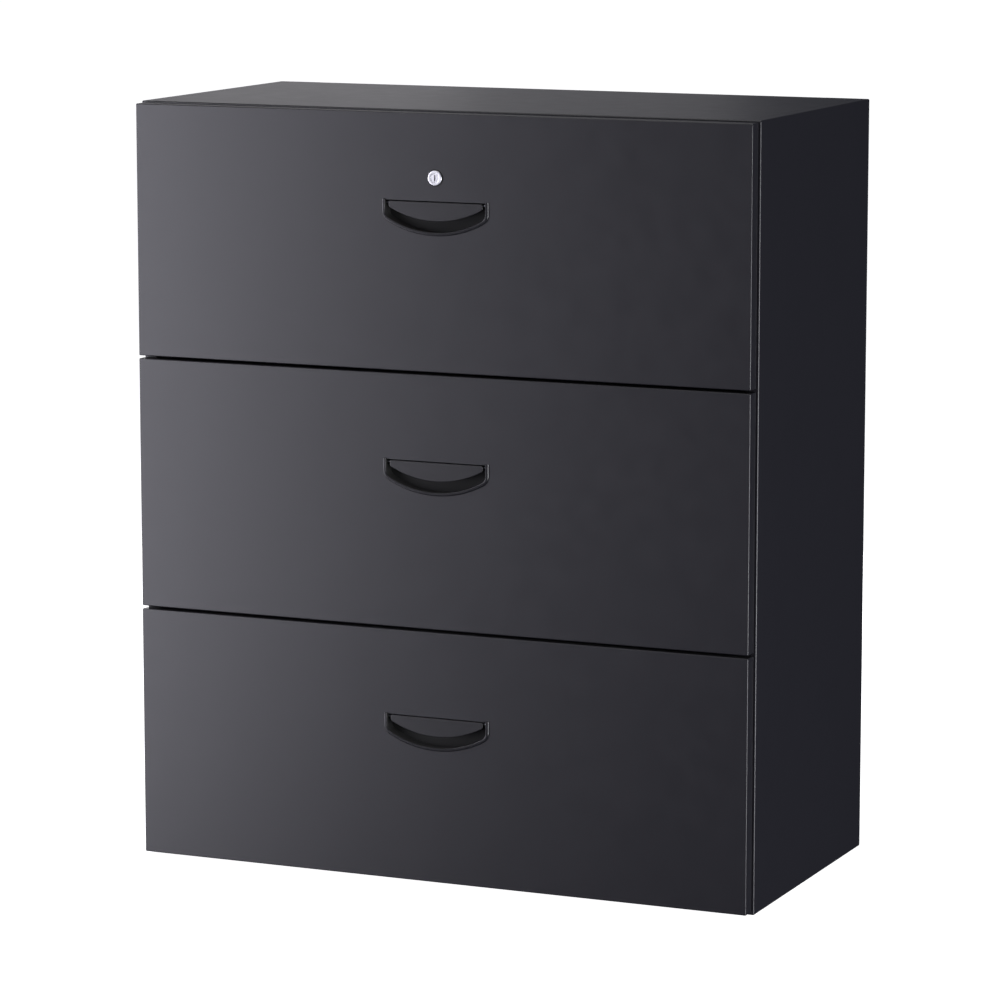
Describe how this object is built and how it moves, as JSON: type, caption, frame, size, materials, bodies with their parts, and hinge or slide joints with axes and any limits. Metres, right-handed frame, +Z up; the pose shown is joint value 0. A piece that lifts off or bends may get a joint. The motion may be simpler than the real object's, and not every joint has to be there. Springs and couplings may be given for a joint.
{
  "type": "lateral filing cabinet",
  "caption": "Black sheet-steel lateral filing cabinet with wide overlay drawers, half-moon recessed flap pulls and a cylinder lock.",
  "frame": {"origin": "on the floor, at the middle of the cabinet's width and overall depth", "axes": "+X to the cabinet's right as seen from the front, +Y from the front to the back, +Z up"},
  "size_m": [0.9, 0.452, 1.05],
  "materials": {
    "case_paint": "satin black powder coat",
    "drawer_paint": "satin black powder coat, inside",
    "zinc_steel": "zinc-plated, satin",
    "pull_plastic": "fine moulded texture",
    "lock_chrome": "bright nickel plate"
  },
  "bodies": {
    "cabinet": {"side_panel_left": "case_paint", "side_panel_right": "case_paint", "top_panel": "case_paint", "bottom_panel": "case_paint", "back_panel": "case_paint", "corner_plates": "case_paint", "front_uprights": "zinc_steel", "rear_uprights": "zinc_steel", "outer_slides_lower": "zinc_steel", "outer_slides_middle": "zinc_steel", "outer_slides_upper": "zinc_steel", "slide_screws": "zinc_steel", "strikes": "zinc_steel"},
    "lock_bar": {"lock_bar": "zinc_steel"},
    "drawer_lower": {"drawer_front_lower": "case_paint", "front_liner_lower": "drawer_paint", "drawer_side_lower_left": "drawer_paint", "drawer_side_lower_right": "drawer_paint", "drawer_bottom_lower": "drawer_paint", "drawer_back_lower": "drawer_paint", "hanging_bars_lower": "zinc_steel", "handle_housing_lower": "pull_plastic", "paddle_pin_lower": "zinc_steel", "latch_spring_lower": "zinc_steel", "inner_slides_lower": "zinc_steel"},
    "slides_lower": {"middle_slides_lower": "zinc_steel"},
    "paddle_lower": {"handle_paddle_lower": "pull_plastic"},
    "latch_lower": {"latch_shaft_lower": "zinc_steel"},
    "drawer_middle": {"drawer_front_middle": "case_paint", "front_liner_middle": "drawer_paint", "drawer_side_middle_left": "drawer_paint", "drawer_side_middle_right": "drawer_paint", "drawer_bottom_middle": "drawer_paint", "drawer_back_middle": "drawer_paint", "hanging_bars_middle": "zinc_steel", "handle_housing_middle": "pull_plastic", "paddle_pin_middle": "zinc_steel", "latch_spring_middle": "zinc_steel", "inner_slides_middle": "zinc_steel"},
    "slides_middle": {"middle_slides_middle": "zinc_steel"},
    "paddle_middle": {"handle_paddle_middle": "pull_plastic"},
    "latch_middle": {"latch_shaft_middle": "zinc_steel"},
    "drawer_upper": {"drawer_front_upper": "case_paint", "front_liner_upper": "drawer_paint", "drawer_side_upper_left": "drawer_paint", "drawer_side_upper_right": "drawer_paint", "drawer_bottom_upper": "drawer_paint", "drawer_back_upper": "drawer_paint", "hanging_bars_upper": "zinc_steel", "handle_housing_upper": "pull_plastic", "paddle_pin_upper": "zinc_steel", "latch_spring_upper": "zinc_steel", "inner_slides_upper": "zinc_steel", "lock_housing": "lock_chrome"},
    "slides_upper": {"middle_slides_upper": "zinc_steel"},
    "paddle_upper": {"handle_paddle_upper": "pull_plastic"},
    "latch_upper": {"latch_shaft_upper": "zinc_steel"},
    "lock_plug": {"lock_plug": "lock_chrome", "lock_cam": "zinc_steel"},
    "lock_rod": {"lock_rod": "zinc_steel"}
  },
  "joints": [
    {"name": "drawer_lower_slide", "type": "slide", "parent": "cabinet", "child": "drawer_lower", "axis": [0, -1, 0], "range_m": [0, 0.4]},
    {"name": "slides_lower_slide", "type": "slide", "parent": "cabinet", "child": "slides_lower", "axis": [0, -1, 0], "range_m": [0, 0.2]},
    {"name": "paddle_lower_hinge", "type": "hinge", "parent": "drawer_lower", "child": "paddle_lower", "pos_m": [0, -0.2196, 0.2292], "axis": [-1, 0, 0], "range_deg": [0, 20]},
    {"name": "latch_lower_hinge", "type": "hinge", "parent": "drawer_lower", "child": "latch_lower", "pos_m": [0, -0.212, 0.2462], "axis": [1, 0, 0], "range_deg": [0, 12]},
    {"name": "drawer_middle_slide", "type": "slide", "parent": "cabinet", "child": "drawer_middle", "axis": [0, -1, 0], "range_m": [0, 0.4]},
    {"name": "slides_middle_slide", "type": "slide", "parent": "cabinet", "child": "slides_middle", "axis": [0, -1, 0], "range_m": [0, 0.2]},
    {"name": "paddle_middle_hinge", "type": "hinge", "parent": "drawer_middle", "child": "paddle_middle", "pos_m": [0, -0.2196, 0.5782], "axis": [-1, 0, 0], "range_deg": [0, 20]},
    {"name": "latch_middle_hinge", "type": "hinge", "parent": "drawer_middle", "child": "latch_middle", "pos_m": [0, -0.212, 0.5952], "axis": [1, 0, 0], "range_deg": [0, 12]},
    {"name": "drawer_upper_slide", "type": "slide", "parent": "cabinet", "child": "drawer_upper", "axis": [0, -1, 0], "range_m": [0, 0.4]},
    {"name": "slides_upper_slide", "type": "slide", "parent": "cabinet", "child": "slides_upper", "axis": [0, -1, 0], "range_m": [0, 0.2]},
    {"name": "paddle_upper_hinge", "type": "hinge", "parent": "drawer_upper", "child": "paddle_upper", "pos_m": [0, -0.2196, 0.9272], "axis": [-1, 0, 0], "range_deg": [0, 20]},
    {"name": "latch_upper_hinge", "type": "hinge", "parent": "drawer_upper", "child": "latch_upper", "pos_m": [0, -0.212, 0.9442], "axis": [1, 0, 0], "range_deg": [0, 12]},
    {"name": "lock_turn", "type": "hinge", "parent": "drawer_upper", "child": "lock_plug", "pos_m": [0, -0.224, 0.962], "axis": [0, 1, 0], "range_deg": [0, 90]},
    {"name": "lock_rod_slide", "type": "slide", "parent": "drawer_upper", "child": "lock_rod", "axis": [1, 0, 0], "range_m": [0, 0.008]},
    {"name": "lock_bar_slide", "type": "slide", "parent": "cabinet", "child": "lock_bar", "axis": [0, 0, 1], "range_m": [0, 0.0105]}
  ],
  "couplings": [
    {"joint": "slides_lower_slide", "follows": "drawer_lower_slide", "ratio": 0.5},
    {"joint": "latch_lower_hinge", "follows": "paddle_lower_hinge", "ratio": 0.6},
    {"joint": "slides_middle_slide", "follows": "drawer_middle_slide", "ratio": 0.5},
    {"joint": "latch_middle_hinge", "follows": "paddle_middle_hinge", "ratio": 0.6},
    {"joint": "slides_upper_slide", "follows": "drawer_upper_slide", "ratio": 0.5},
    {"joint": "latch_upper_hinge", "follows": "paddle_upper_hinge", "ratio": 0.6},
    {"joint": "lock_turn", "follows": "lock_bar_slide", "rad_per_m": 149.6},
    {"joint": "lock_rod_slide", "follows": "lock_bar_slide", "ratio": 0.7619}
  ]
}
